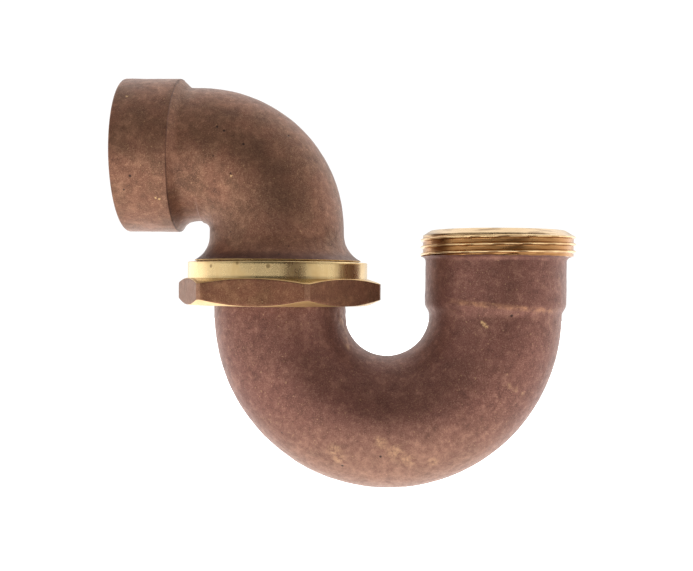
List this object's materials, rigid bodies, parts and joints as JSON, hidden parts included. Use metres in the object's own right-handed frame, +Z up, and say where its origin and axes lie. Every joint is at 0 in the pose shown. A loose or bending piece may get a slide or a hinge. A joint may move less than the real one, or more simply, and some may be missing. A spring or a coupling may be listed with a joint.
{
  "type": "p trap",
  "caption": "Cast bronze P-trap: a J-bend with a threaded slip-joint inlet hangs by a hex union nut from a quarter-bend elbow with a solder-cup outlet.",
  "frame": {"origin": "centre of the outlet hub's mouth", "axes": "+Z up, along the inlet's axis, the way the tailpiece leaves; -X out of the outlet hub, the way the waste tube leaves; the trap lies in the plane Y = 0"},
  "size_m": [0.1398, 0.0612, 0.1266],
  "materials": {
    "cast_elbow": "sand-cast, lightly oxidised bronze",
    "cast_bend": "sand-cast, lightly oxidised bronze, turned inlet thread",
    "nut_brass": "turned skirt and chamfers, as-cast flats",
    "ring_brass": "drawn wire, satin",
    "washer_rubber": "matt"
  },
  "bodies": {
    "elbow": {"outlet_elbow": "cast_elbow"},
    "washer": {"union_washer": "washer_rubber"},
    "bend": {"inlet_bend": "cast_bend", "nut_retaining_ring": "ring_brass"},
    "nut": {"union_nut": "nut_brass"}
  },
  "joints": [
    {"name": "union_drop", "type": "slide", "parent": "elbow", "child": "washer", "axis": [0, 0, -1], "range_m": [0, 0.00607]},
    {"name": "nut_turn", "type": "hinge", "parent": "washer", "child": "nut", "pos_m": [0.0476, 0, -0.04], "axis": [0, 0, -1], "range_deg": [0, 990]},
    {"name": "trap_swivel", "type": "hinge", "parent": "washer", "child": "bend", "pos_m": [0.0476, 0, -0.0415], "axis": [0, 0, 1], "range_deg": [-155, 155]}
  ],
  "couplings": [
    {"joint": "nut_turn", "follows": "union_drop", "rad_per_m": 2844.8}
  ]
}
